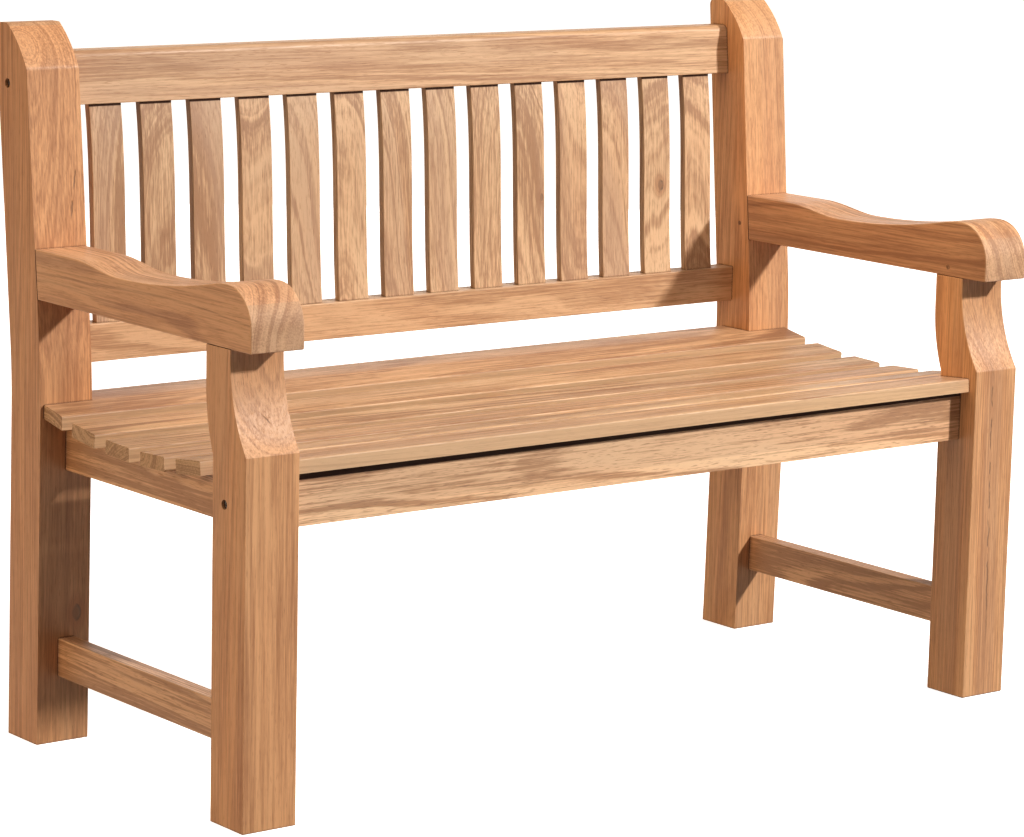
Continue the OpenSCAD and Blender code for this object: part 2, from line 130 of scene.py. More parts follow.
def search_tree(node):
    """A tree of a CAD node's faces, to find the nearest one to a point."""
    bm = bmesh.new()
    bm.from_mesh(NODES[node].data)
    tree = BVHTree.FromBMesh(bm)
    bm.free()
    return tree


BORES = bores()
TREES = {name: search_tree(name) for name in TIMBERS}


def on_a_bore(point):
    """True if the point is on the rim of a bolt's, nut's or pin's hole."""
    for axis, centre, radius in BORES:
        away = point - centre
        away[axis] = 0
        if away.length < radius + BORE_ROOM:
            return True
    return False


def buried(point, own):
    """True if the point lies inside another timber."""
    for name, tree in TREES.items():
        if name == own:
            continue
        place, normal, _, _ = tree.find_nearest(point, NEARBY)
        if place is not None and (point - place).dot(normal) < 0:
            return True
    return False


def is_corner(edge):
    """True if two faces meet at an edge in an outer corner."""
    return len(edge.link_faces) == 2 and edge.calc_face_angle_signed(0) >= FACET_TURN


def is_exposed(edge, own):
    """True for an outer corner that nothing butts against along most of its length."""
    ends = [v.co for v in edge.verts]
    if not is_corner(edge) or all(on_a_bore(p.copy()) for p in ends):
        return False
    out = (edge.link_faces[0].normal + edge.link_faces[1].normal).normalized() * JUST_OUTSIDE
    samples = [ends[0].lerp(ends[1], t) + out for t in (0.1, 0.3, 0.5, 0.7, 0.9)]
    return sum(buried(p, own) for p in samples) < 3


def is_seat_edge(edge):
    """True for a long top edge of a seat slat."""
    if not is_corner(edge):
        return False
    along = edge.verts[0].co - edge.verts[1].co
    upward = max(face.normal.z for face in edge.link_faces)
    return abs(along.x) > SHORTEST_SEAT_EDGE and upward > SQUARELY


# ---------------------------------------------------------------- meshes

def open_mesh(node):
    """A CAD node's mesh to edit, with its flat faces whole."""
    bm = bmesh.new()
    bm.from_mesh(NODES[node].data)
    bmesh.ops.remove_doubles(bm, verts=bm.verts, dist=SAME_PLACE)
    bmesh.ops.dissolve_limit(bm, angle_limit=SAME_PLANE, verts=bm.verts, edges=bm.edges)
    bm.normal_update()
    return bm


def close_mesh(bm, name):
    """A new mesh from an edited one, which is smooth but for the edges where flat faces meet."""
    for face in bm.faces:
        face.smooth = True
    for edge in bm.edges:
        edge.smooth = len(edge.link_faces) == 2 and edge.calc_face_angle(0) < FACET_TURN
    mesh = bpy.data.meshes.new(name)
    bm.to_mesh(mesh)
    bm.free()
    return mesh


def round_edges(bm, edges, size, steps):
    """Rounds edges over in a few steps."""
    bmesh.ops.bevel(bm, geom=edges, offset=size, offset_type="OFFSET", affect="EDGES", segments=steps,
                    profile=0.5, clamp_overlap=True)
    bm.normal_update()


def end_faces(bm, along):
    """1 for each face across the grain, and 0 for the others."""
    return [1.0 if abs(face.normal[along]) > SQUARELY else 0.0 for face in bm.faces]


def faces_wear_and_highlight(bm, node, flat_ways):
    """How much wear each face shows, and on the seat slats also painted highlight, which makes their
    rounded edges and front faces paler. A rounded edge's face faces none of the ways that the flat faces
    do.
    """
    wear_and_highlight = []
    for face in bm.faces:
        rim = all((face.normal - way).length > RIM_TURN for way in flat_ways)
        if node.startswith("seat_slat"):
            # Seat slats: wear on the rounded edges, and painted highlight on the front faces
            wear_and_highlight.append(SEAT_WEAR_AND_HIGHLIGHT if rim or face.normal.y < -DEAD_ON else 0.0)
        else:
            wear_and_highlight.append(1.0 if rim else 0.0)
    return wear_and_highlight


def put(mesh, name, values, domain="POINT", kind="FLOAT_VECTOR"):
    """Writes an attribute that the materials read."""
    attribute = mesh.attributes.new(name, kind, domain)
    flat = [x for value in values for x in value] if kind == "FLOAT_VECTOR" else values
    attribute.data.foreach_set("vector" if kind == "FLOAT_VECTOR" else "value", flat)


def add_piece(mesh, name, node, material):
    """The piece that replaces a CAD node, with its material."""
    mesh.materials.append(material)
    piece = bpy.data.objects.new(name, mesh)
    bpy.context.scene.collection.objects.link(piece)
    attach(piece, "root")
    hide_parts(node)
    return piece


# ---------------------------------------------------------------- marks in the wood

FRONT = (0, -1, 0)
# For each mark: the way its face faces, its place along the grain and aside from the timber's
# middle, its size and its slant
KNOTS = {
    "back_slat_13": (FRONT, -0.015, 0.006, 0.0045, 0),
    "back_slat_10": (FRONT, -0.02, 0.018, 0.003, 0),
    "leg_back_left": (FRONT, -0.29, 0.018, 0.006, 0),
}
SPLITS = {
    "leg_front_left": (FRONT, 0.19, 0.0015, 0.016, -0.9),
    "leg_front_right": (FRONT, -0.035, -0.003, 0.21, -0.0225),
    "leg_back_left": (FRONT, 0.25, 0.022, 0.04, 0.15),
    "back_slat_01": (FRONT, -0.08, 0.02, 0.012, 0),
}
# The axis that runs across a strip of sapwood, and 1 where the strip is at that axis's low end
SAPWOOD = {"arm_right": (0, 1), "rail_seat_front": (2, 1)}
# A mark far away, for the timbers with none
NO_KNOT = (9.0, 9.0, 0.004)
NO_SPLIT = (9.0, 9.0, 0.01)
NO_SAPWOOD = 9.0
NO_PAINTED_SHADE = 9.0
# The painted shade strip on the back slats is this much less high than the one on the front rail
SLAT_STRIP_LESS = 4.4 * MM


def facing(mesh, way):
    """The mesh's faces that face a way."""
    return [face for face in mesh.polygons if face.normal.dot(way) > ROUGHLY]


def corners(mesh, faces, local):
    """(corner's number, its place) for each corner of some faces."""
    for face in faces:
        for corner in face.loop_indices:
            yield corner, local[mesh.loops[corner].vertex_index]


def put_mark(mesh, name, mark, local, along, none):
    """Gives each corner its place from a mark's middle, along and across the grain, and its size."""
    values = [none] * len(mesh.loops)
    if mark:
        way, start, aside, size, slant = mark
        sideways = next(i for i in range(3) if i != along and abs(way[i]) < 0.5)
        for corner, place in corners(mesh, facing(mesh, Vector(way)), local):
            length = place[along] - start
            values[corner] = (length, place[sideways] - aside - slant * length, size)
    put(mesh, name, values, "CORNER")


def put_sapwood(mesh, node, local):
    """Gives each corner its distance from the timber's edge of sapwood."""
    values = [NO_SAPWOOD] * len(mesh.loops)
    if node in SAPWOOD:
        side, sign = SAPWOOD[node]
        edge = min(sign * p[side] for p in local)
        beside = [face for face in mesh.polygons if abs(face.normal[side]) < ROUGHLY]
        for corner, place in corners(mesh, beside, local):
            values[corner] = sign * place[side] - edge
    put(mesh, "sapwood", values, "CORNER", "FLOAT")


def put_painted_shade_depth(mesh, node, local):
    """Gives the front faces under the seat's front slat and under the top rail their depth below it, for
    the painted shade strip there.
    """
    values = [NO_PAINTED_SHADE] * len(mesh.loops)
    top = None
    if node == "rail_seat_front":
        top = max(p.z for p in local)
    elif node.startswith("back_slat"):
        low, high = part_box(node)
        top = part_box("rail_back_top")[0].z - (low.z + high.z) / 2 + SLAT_STRIP_LESS
    if top is not None:
        for corner, place in corners(mesh, facing(mesh, Vector(FRONT)), local):
            values[corner] = top - place.z
    put(mesh, "eaves", values, "CORNER", "FLOAT")


# ---------------------------------------------------------------- node trees

def rgb(red, green, blue):
    """A colour from its screen values."""
    def linear(c):
        c = c / 255
        return c / 12.92 if c <= 0.04045 else ((c + 0.055) / 1.055) ** 2.4
    return (linear(red), linear(green), linear(blue), 1.0)


class Tree:
    """Short words for building a node tree. Inputs are numbers, colours or other nodes' sockets."""

    def __init__(self, tree):
        self.tree = tree

    def node(self, kind, **settings):
        made = self.tree.nodes.new(kind)
        for name, value in settings.items():
            setattr(made, name, value)
        return made

    def feed(self, socket, value):
        if isinstance(value, bpy.types.NodeSocket):
            self.tree.links.new(value, socket)
        else:
            socket.default_value = value

    def read(self, name, output="Vector"):
        return self.node("ShaderNodeAttribute", attribute_name=name).outputs[output]

    def calc(self, operation, a, b=0.0, c=0.0, clamp=False):
        made = self.node("ShaderNodeMath", operation=operation, use_clamp=clamp)
        for socket, value in zip(made.inputs, (a, b, c)):
            self.feed(socket, value)
        return made.outputs[0]

    def times(self, a, b):
        return self.calc("MULTIPLY", a, b)

    def vector(self, operation, a, b=(0, 0, 0)):
        made = self.node("ShaderNodeVectorMath", operation=operation)
        self.feed(made.inputs[0], a)
        self.feed(made.inputs[1], b)
        return made.outputs["Value" if operation in ("LENGTH", "DOT_PRODUCT") else "Vector"]

    def split(self, value):
        made = self.node("ShaderNodeSeparateXYZ")
        self.feed(made.inputs[0], value)
        return list(made.outputs)

    def join(self, x, y, z):
        made = self.node("ShaderNodeCombineXYZ")
        for socket, value in zip(made.inputs, (x, y, z)):
            self.feed(socket, value)
        return made.outputs[0]

    def noise(self, at, per_metre, detail=2.0, rough=0.5, output="Fac"):
        """Noise with so many cells a metre along, across and through the timber."""
        made = self.node("ShaderNodeTexNoise")
        self.feed(made.inputs["Vector"], self.vector("MULTIPLY", at, per_metre))
        self.feed(made.inputs["Scale"], 1.0)
        self.feed(made.inputs["Detail"], detail)
        self.feed(made.inputs["Roughness"], rough)
        return made.outputs[output]

    def spread(self, value, low, high, to_low=0.0, to_high=1.0):
        """Stretches low..high to to_low..to_high smoothly, and clamps."""
        made = self.node("ShaderNodeMapRange", interpolation_type="SMOOTHSTEP")
        for socket, number in zip(made.inputs, (value, low, high, to_low, to_high)):
            self.feed(socket, number)
        return made.outputs[0]

    def line(self, value, level, width):
        """1 where a value crosses a level, and 0 a width away from it."""
        away = self.calc("ABSOLUTE", self.calc("SUBTRACT", value, level))
        return self.spread(away, 0.3 * width, width, 1.0, 0.0)

    def add_up(self, total, *terms):
        """The total and each term's weight times its value's height above its middle."""
        for value, middle, weight in terms:
            total = self.calc("MULTIPLY_ADD", self.calc("SUBTRACT", value, middle), weight, total)
        return total

    def mix(self, share, a, b, blend="MIX"):
        made = self.node("ShaderNodeMix", data_type="RGBA", blend_type=blend)
        self.feed(made.inputs[0], share)
        self.feed(made.inputs[6], a)
        self.feed(made.inputs[7], b)
        return made.outputs[2]

    def tint(self, share, colour, by):
        """The colour multiplied by another, by a share."""
        return self.mix(share, colour, by, "MULTIPLY")

    def bump(self, strength, depth, height):
        """The normal of a bumpy surface."""
        made = self.node("ShaderNodeBump")
        made.inputs["Strength"].default_value = strength
        made.inputs["Distance"].default_value = depth
        self.feed(made.inputs["Height"], height)
        return made.outputs[0]


# ---------------------------------------------------------------- the grain of teak

HALF = (0.5, 0.5, 0.5)
# How far the growth rings wander and ripple off their round shape, and lean along the trunk
WANDER = 20 * MM
RIPPLE = 2.5 * MM
TRUNK_LEAN = 0.012
# Where a band of noise has its thin lines
DARK_LEVEL, DARK_WIDTH = 0.50, 0.030
PALE_LEVEL, PALE_WIDTH = 0.55, 0.028

HEART = rgb(128, 82, 52)
GREY = rgb(170, 138, 118)
WARM_TINT = (1.0, 0.84, 0.74, 1)
PORE_TINT = rgb(170, 128, 96)
SAP_TINT = (1.25, 1.3, 1.3, 1)
KNOT_TINT = rgb(206, 168, 140)
KNOT_CORE = rgb(112, 68, 40)
BARK = rgb(48, 28, 18)
SPLIT_DARK = rgb(70, 40, 24)
SAWN_PALE = rgb(200, 166, 134)
SAWN_DARK = rgb(146, 108, 80)
# Colour of the dirt and painted shade in tight joints
DIRT_AND_SHADE_TINT = rgb(70, 40, 28)
# Colour of the painted shade under the seat's front slat and the top rail
PAINTED_SHADE_DARK = rgb(50, 24, 12)

SAP_WIDTH = 13 * MM
SPLIT_WAVE = 10 * MM
SPLIT_EDGE = (0.6 * MM, 1.5 * MM)
DIRT_AND_SHADE_REACH = 3.5 * MM
# The painted shade strip's height half a metre below the timber's middle along the grain, how blurred
# its edge is, and how much it narrows in a metre
STRIP_HEIGHT = 9.5 * MM
STRIP_BLUR = 0.5 * MM
STRIP_NARROWING = 0.003
BUMP_DEPTH = 0.5 * MM
ROUGHNESS = 0.48


def growth(t, grain, knot):
    """The grain's place once it wanders, and its distance from the tree's core, with a bulge at a knot."""
    wander = t.vector("SUBTRACT", t.noise(grain, (1.3, 9, 9), 2, 0.5, "Color"), HALF)
    ripple = t.vector("SUBTRACT", t.noise(grain, (9, 50, 50), 2, 0.5, "Color"), HALF)
    off = t.vector("ADD", t.vector("MULTIPLY", wander, (0, WANDER, WANDER)),
                   t.vector("MULTIPLY", ripple, (0, RIPPLE, RIPPLE)))
    bent = t.vector("ADD", grain, off)
    along, across, through = t.split(bent)
    radius = t.vector("LENGTH", t.join(0, across, t.calc("MULTIPLY_ADD", along, TRUNK_LEAN, through)))
    bulge = t.calc("EXPONENT", t.times(t.calc("POWER", knot.away, 1.3), -0.45))
    return bent, t.calc("MULTIPLY_ADD", bulge, t.times(knot.size, 1.8), radius)


def ring_pattern(t, bent, radius):
    """Bands and thin lines that follow the growth rings."""
    ringed = t.join(t.split(bent)[0], radius, 0)
    edges = t.noise(ringed, (0.5, 70, 1), 1, 0.5)
    return {
        "broad": t.noise(ringed, (0.7, 45, 1), 2, 0.5),
        "bands": t.noise(ringed, (1.2, 180, 1), 3, 0.6),
        "hairs": t.noise(ringed, (2.5, 620, 1), 2, 0.6),
        "grey": t.spread(t.noise(ringed, (0.8, 34, 1), 2, 0.5), 0.50, 0.62),
        "dark_lines": t.line(edges, DARK_LEVEL, DARK_WIDTH),
        "pale_lines": t.line(edges, PALE_LEVEL, PALE_WIDTH),
    }


def fibre_pattern(t, grain, bent):
    """Fibres, dashes, pores and mottling, each longer along the grain than across it."""
    return {
        "fibres": t.noise(grain, (9, 420, 420), 2, 0.6),
        "dashes": t.noise(grain, (60, 700, 700), 1, 0.5),
        "fine": t.noise(grain, (30, 2200, 2200), 2, 0.6),
        "pores": t.spread(t.noise(grain, (60, 900, 900), 1, 0.5), 0.60, 0.70),
        "mottle": t.noise(bent, (5, 36, 36), 2, 0.5),
        "cloud": t.noise(grain, (3, 20, 20), 2, 0.5),
        "heart": t.spread(t.noise(bent, (0.7, 24, 24), 3, 0.6), 0.48, 0.76),
    }


def wood_shade(t, given, wood, light, figure):
    """How dark the wood is, from 0 at its pale tone to 1 at its dark one."""
    streak, speckle = given["Streak"], given["Speckle"]
    strong = t.times(streak, 1.6)
    shade = t.add_up(
        t.calc("SUBTRACT", 0.40, light),
        (wood.bands, 0.5, strong), (wood.broad, 0.5, strong), (wood.hairs, 0.5, strong),
        (wood.fibres, 0.5, t.times(speckle, 3.0)), (wood.dashes, 0.5, t.times(speckle, 0.7)),
        (wood.fine, 0.5, 0.5), (wood.mottle, 0.5, t.times(figure, 1.1)), (wood.cloud, 0.5, 0.7),
        (wood.dark_lines, 0, t.times(streak, 0.55)), (wood.pale_lines, 0, t.times(streak, -0.45)))
    return t.calc("MAXIMUM", t.calc("MINIMUM", shade, 1.15), -0.15)


def wood_colour(t, given, wood, shade, red, streaky, figure):
    """The colour of clear wood, with grey, red and heart wood, and pores."""
    colour = t.mix(shade, given["Pale"], given["Dark"])
    colour = t.mix(t.times(wood.grey, t.times(figure, 0.45)), colour, given["Grey"])
    warm = t.add_up(red, (wood.cloud, 0.5, 1.6), (wood.bands, 0.5, 1.0))
    colour = t.tint(t.spread(warm, -0.6, 0.6, 0.0, 0.7), colour, WARM_TINT)
    heart = t.calc("MULTIPLY", wood.heart, streaky, clamp=True)
    colour = t.mix(t.times(heart, 0.7), colour, given["Heart"])
    return t.tint(t.times(wood.pores, t.times(given["Speckle"], 0.5)), colour, PORE_TINT)


def add_sapwood(t, colour, wood):
    """A pale yellow strip of sapwood."""
    depth = t.add_up(t.read("sapwood", "Fac"), (wood.broad, 0.5, 0.03))
    return t.tint(t.spread(depth, SAP_WIDTH - MM, SAP_WIDTH + MM, 0.8, 0.0), colour, SAP_TINT)


def add_knot(t, colour, wood, knot):
    """A dark bark crescent round a reddish core, and darker wood round it."""
    ragged = t.add_up(knot.away, (wood.fibres, 0.5, 0.8), (wood.mottle, 0.5, 1.0))
    ring = t.times(t.spread(ragged, 0.6, 0.95), t.spread(ragged, 1.0, 1.3, 1.0, 0.0))
    bark = t.times(ring, t.spread(t.calc("DIVIDE", knot.aside, knot.size), -0.6, 0.6, 0.1, 0.9))
    colour = t.tint(t.spread(ragged, 1.0, 3.6, 0.75, 0.0), colour, KNOT_TINT)
    colour = t.mix(t.spread(ragged, 0.7, 1.0, 0.85, 0.0), colour, KNOT_CORE)
    return t.mix(bark, colour, BARK), bark


def add_split(t, colour, grain):
    """A thin dark line that comes and goes."""
    along, aside, half = t.split(t.read("split_at"))
    wave = t.times(t.calc("SUBTRACT", t.noise(grain, (30, 30, 30), 3, 0.6), 0.5), SPLIT_WAVE)
    near, far = SPLIT_EDGE
    gap = t.spread(t.calc("ABSOLUTE", t.calc("ADD", aside, wave)), near, far, 1.0, 0.0)
    reach = t.spread(t.calc("DIVIDE", t.calc("ABSOLUTE", along), half), 0.7, 1.0, 1.0, 0.0)
    broken = t.spread(t.noise(grain, (40, 5, 5), 1, 0.5), 0.40, 0.50)
    gap = t.times(gap, t.times(reach, broken))
    return t.mix(t.times(gap, 0.85), colour, SPLIT_DARK), gap


def add_ends_wear_and_highlight(t, colour, shade, end, pale):
    """Sawn ends are greyer, and edges paler from wear; on the seat slats the paler front faces are painted
    highlight.
    """
    colour = t.mix(t.times(end, 0.6), colour, t.mix(shade, SAWN_PALE, SAWN_DARK))
    # Paler by the eased attribute: edge wear, and painted highlight on the seat slats' front faces
    return t.mix(t.calc("MULTIPLY_ADD", t.read("eased", "Fac"), 0.22, 0.26), colour, pale)


def add_dirt_and_painted_shade(t, colour):
    """Dirt and painted shade in tight joints: darker where ambient occlusion finds other surfaces close by.
    """
    # Painted shade: ambient occlusion darkens corners and gaps between parts
    nook = t.node("ShaderNodeAmbientOcclusion", samples=6)
    nook.inputs["Distance"].default_value = DIRT_AND_SHADE_REACH
    dirt_and_shade = t.spread(nook.outputs["AO"], 0.36, 0.78, 0.97, 0.0)
    return t.tint(dirt_and_shade, colour, DIRT_AND_SHADE_TINT), dirt_and_shade


def add_painted_shade_strip(t, colour):
    """A painted shade strip under the seat's front slat, less high towards its right end, and under the top
    rail.
    """
    along = t.split(t.read("place"))[0]
    depth = t.add_up(t.read("eaves", "Fac"), (along, -0.5, STRIP_NARROWING))
    shaded = t.spread(depth, STRIP_HEIGHT - STRIP_BLUR, STRIP_HEIGHT + STRIP_BLUR, 0.96, 0.0)
    return t.mix(shaded, colour, PAINTED_SHADE_DARK), shaded


def new_group(name, inputs, outputs):
    """A node group with some named sockets."""
    group = bpy.data.node_groups.new(name, "ShaderNodeTree")
    for way, sockets in (("INPUT", inputs), ("OUTPUT", outputs)):
        for socket, kind in sockets:
            group.interface.new_socket(socket, in_out=way, socket_type="NodeSocket" + kind)
    return group


def teak_group():
    """The grain of teak, worked out from each timber's own attributes, with painted shade in tight joints,
    under the seat's front slat and under the top rail, and painted highlight on the seat slats' front
    faces.
    """
    tones = [(name, "Color") for name in ("Pale", "Dark", "Heart", "Grey")]
    strengths = [(name, "Float") for name in ("Streak", "Figure", "Speckle")]
    surface = (("Color", "Color"), ("Roughness", "Float"), ("Normal", "Vector"))
    group = new_group("teak_grain", tones + strengths, surface)
    t = Tree(group)
    given = t.node("NodeGroupInput").outputs
    figure = t.times(given["Figure"], t.read("figured", "Fac"))
    grain = t.vector("ADD", t.read("place"), t.read("core"))
    light, red, streaky = t.split(t.read("tone"))
    end = t.read("end_grain", "Fac")
    knot_along, aside, size = t.split(t.read("knot_at"))
    off = t.vector("LENGTH", t.join(t.times(knot_along, 0.65), aside, 0))
    knot = SimpleNamespace(aside=aside, size=size, away=t.calc("DIVIDE", off, size))
    bent, radius = growth(t, grain, knot)
    wood = SimpleNamespace(**ring_pattern(t, bent, radius), **fibre_pattern(t, grain, bent))

    shade = wood_shade(t, given, wood, light, figure)
    colour = wood_colour(t, given, wood, shade, red, streaky, figure)
    colour = add_sapwood(t, colour, wood)
    colour, bark = add_knot(t, colour, wood, knot)
    colour, gap = add_split(t, colour, grain)
    colour = add_ends_wear_and_highlight(t, colour, shade, end, given["Pale"])
    # Dirt and painted shade in tight joints
    colour, dirt_and_shade = add_dirt_and_painted_shade(t, colour)
    # Painted shade under the seat's front slat and under the top rail
    colour, shaded = add_painted_shade_strip(t, colour)

    rough = t.add_up(ROUGHNESS, (wood.fibres, 0.5, 0.3), (wood.pores, 0, 0.12), (end, 0, 0.15),
                     (shaded, 0, 0.5), (dirt_and_shade, 0, 0.4))
    height = t.add_up(0.0, (wood.fibres, 0.5, 0.6), (wood.dashes, 0.5, 0.35), (wood.fine, 0.5, 0.35),
                      (wood.pores, 0, -0.6), (bark, 0, -1.2), (gap, 0, -2.5))
    out = t.node("NodeGroupOutput").inputs
    t.feed(out["Color"], colour)
    t.feed(out["Roughness"], rough)
    t.feed(out["Normal"], t.bump(0.4, BUMP_DEPTH, height))
    return group


# ---------------------------------------------------------------- materials

def new_material(name):
    """(material, its tree, its shader)."""
    material = bpy.data.materials.new(name)
    material.use_nodes = True
    return material, Tree(material.node_tree), material.node_tree.nodes["Principled BSDF"]


def teak(name, tones, strengths):
    """A teak material, from the tones and the strengths of its pattern."""
    material, t, shader = new_material(name)
    pattern = t.node("ShaderNodeGroup", node_tree=GRAIN)
    values = dict(zip(("Pale", "Dark", "Streak", "Figure", "Speckle"), tones + strengths))
    for socket, value in {**values, "Heart": HEART, "Grey": GREY}.items():
        pattern.inputs[socket].default_value = value
    t.feed(shader.inputs["Base Color"], pattern.outputs["Color"])
    t.feed(shader.inputs["Roughness"], pattern.outputs["Roughness"])
    t.feed(shader.inputs["Normal"], pattern.outputs["Normal"])
    shader.inputs["Specular IOR Level"].default_value = 0.45
    return material


def steel():
    """Stainless steel with turned rings and a little tarnish."""
    material, t, shader = new_material("bolt_steel")
    where = t.node("ShaderNodeTexCoord").outputs["Object"]
    turned = t.noise(where, (900, 9000, 9000), 3, 0.6)
    tarnish = t.noise(where, (300, 300, 300), 3, 0.6)
    t.feed(shader.inputs["Base Color"], t.mix(tarnish, rgb(128, 126, 124), rgb(186, 184, 180)))
    t.feed(shader.inputs["Roughness"], t.spread(turned, 0.3, 0.7, 0.25, 0.5))
    t.feed(shader.inputs["Normal"], t.bump(0.15, 0.1 * MM, turned))
    shader.inputs["Metallic"].default_value = 1.0
    return material


GRAIN = teak_group()
# Slot, pale and dark tones, and how strong the streaks, figure and speckle are, for each kind of timber
TEAKS = {
    "leg": ("teak_legs", (rgb(222, 174, 128), rgb(158, 106, 66)), (0.5, 0.4, 0.7)),
    "arm": ("teak_arms", (rgb(222, 178, 138), rgb(150, 100, 66)), (0.7, 0.7, 0.6)),
    "rail_back": ("teak_back_rails", (rgb(218, 182, 144), rgb(156, 112, 76)), (0.65, 0.6, 0.8)),
    "back": ("teak_back_slats", (rgb(218, 185, 148), rgb(148, 106, 74)), (0.85, 0.9, 0.9)),
    "seat": ("teak_seat_slats", (rgb(218, 182, 142), rgb(140, 92, 60)), (1.0, 0.7, 0.8)),
    "rail": ("teak_seat_frame", (rgb(232, 194, 156), rgb(162, 116, 80)), (1.2, 0.5, 1.3)),
}
MATERIALS = {kind: (slot, teak(slot, tones, strengths)) for kind, (slot, tones, strengths) in TEAKS.items()}
MATERIALS["stretcher"] = MATERIALS["rail"]
PEG_SLOT = "teak_pins"
PEG_TEAK = teak(PEG_SLOT, (rgb(150, 104, 66), rgb(104, 66, 40)), (0.3, 0.5, 1.0))


# ---------------------------------------------------------------- the timbers

# Lightness, redness and heartwood of the timbers that stand out from the rest
TONES = {
    "back_slat_01": (-0.10, -0.3, 0.3),
    "back_slat_02": (-0.28, -0.1, 0.7),
    "back_slat_03": (-0.08, -0.2, 0.4),
    "leg_front_left": (0.12, 0.2, 0.1),
    "leg_back_left": (-0.05, 0.4, 0.3),
    "leg_back_right": (0.05, 0.0, 0.2),
    "arm_left": (0.0, 0.2, 0.9),
    "arm_right": (-0.02, 0.2, 1.0),
    "seat_slat_rear": (-0.08, 0.6, 0.4),
    "rail_seat_front": (0.12, -0.3, 0.2),
    "stretcher_left": (-0.35, 0.5, 0.5),
    "stretcher_right": (-0.35, 0.5, 0.5),
    "rail_seat_left": (-0.3, 0.4, 0.6),
    "rail_seat_right": (-0.3, 0.4, 0.6),
}
# Nearest and farthest that a timber's middle lies from its tree's core
SLAT_FROM_CORE = (0.03, 0.10)
TIMBER_FROM_CORE = (0.09, 0.16)


def grain_axes(node):
    """The box's axes as numbers, from its longest side, along the grain, to its shortest."""
    low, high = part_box(node)
    return sorted(range(3), key=lambda i: low[i] - high[i])


def eased_mesh(node):
    """A copy of a timber with its outer edges eased, marked for the grain of its material."""
    along, across, through = grain_axes(node)
    bm = open_mesh(node)
    if node.startswith("seat_slat"):
        round_edges(bm, [e for e in bm.edges if is_seat_edge(e)], SEAT_ROUND, SEAT_STEPS)
    outer = [e for e in bm.edges if is_exposed(e, node)]
    flat_ways = {tuple(round(x, 3) for x in face.normal) for face in bm.faces}
    round_edges(bm, outer, EASE[node.split("_")[0]], EASE_STEPS)
    wear_and_highlight = faces_wear_and_highlight(bm, node, [Vector(way) for way in flat_ways])
    ends = end_faces(bm, along)
    mesh = close_mesh(bm, node + "_eased")
    low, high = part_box(node)
    middle = (low + high) / 2
    local = [v.co - middle for v in mesh.vertices]
    put(mesh, "place", [(p[along], p[across], p[through]) for p in local])
    put_mark(mesh, "knot_at", KNOTS.get(node), local, along, NO_KNOT)
    put_mark(mesh, "split_at", SPLITS.get(node), local, along, NO_SPLIT)
    put_sapwood(mesh, node, local)
    put_painted_shade_depth(mesh, node, local)
    # Edge wear, and painted highlight on the seat slats' front faces
    put(mesh, "eased", wear_and_highlight, "FACE", "FLOAT")
    put(mesh, "end_grain", ends, "FACE", "FLOAT")
    return mesh


def make_timber(node):
    """A timber's piece, with its own tree and tone."""
    chance = random.Random(node)
    mesh = eased_mesh(node)
    count = len(mesh.vertices)
    side = chance.choice((-1, 1))
    near, far = SLAT_FROM_CORE if "slat" in node else TIMBER_FROM_CORE
    core = (chance.uniform(-20, 20), chance.uniform(-0.06, 0.06), side * chance.uniform(near, far))
    tone = (chance.uniform(-0.14, 0.10), chance.uniform(-0.35, 0.35), chance.choice((0.1, 0.25, 0.45)))
    put(mesh, "core", [core] * count)
    put(mesh, "tone", [TONES.get(node, tone)] * count)
    put(mesh, "figured", [chance.uniform(0.4, 1.5)] * count, "POINT", "FLOAT")
    kind = "rail_back" if node.startswith("rail_back") else node.split("_")[0]
    slot, material = MATERIALS[kind]
    piece = add_piece(mesh, node + "_timber", node, material)
    weighted = piece.modifiers.new("weighted", "WEIGHTED_NORMAL")
    weighted.keep_sharp = True
    weighted.weight = 100
    return piece


WOOD = {name: make_timber(name) for name in TIMBERS}


# ---------------------------------------------------------------- pins, dowels, bolts and nuts

def make_pegs(node):
    """The pins or dowels: end grain shows at their ends."""
    along = 0 if node == "joint_pins" else 2
    bm = open_mesh(node)
    rims = [e for e in bm.edges if e.calc_face_angle_signed(0) > FACET_TURN]
    round_edges(bm, rims, PEG_ROUND, PEG_STEPS)
    ends = end_faces(bm, along)
    mesh = close_mesh(bm, node + "_pegs")
    count = len(mesh.vertices)
    order = [along] + [i for i in range(3) if i != along]
    put(mesh, "place", [tuple(v.co[i] for i in order) for v in mesh.vertices])
    put(mesh, "core", [(0.0, 0.3, 0.3)] * count)
    put(mesh, "tone", [(-0.25, 0.1, 0.6)] * count)
    put(mesh, "figured", [1.0] * count, "POINT", "FLOAT")
    put(mesh, "knot_at", [NO_KNOT] * len(mesh.loops), "CORNER")
    put(mesh, "split_at", [NO_SPLIT] * len(mesh.loops), "CORNER")
    put(mesh, "sapwood", [NO_SAPWOOD] * len(mesh.loops), "CORNER", "FLOAT")
    put(mesh, "eaves", [NO_PAINTED_SHADE] * len(mesh.loops), "CORNER", "FLOAT")
    put(mesh, "eased", [0.0] * len(mesh.polygons), "FACE", "FLOAT")
    put(mesh, "end_grain", ends, "FACE", "FLOAT")
    add_piece(mesh, node + "_turned", node, PEG_TEAK)


for name in RODS:
    make_pegs(name)

STEEL = steel()
for name in METAL:
    NODES[name].data.materials.clear()
    NODES[name].data.materials.append(STEEL)


# ---------------------------------------------------------------- floor, light and camera

FLOOR_HALF = 30.0
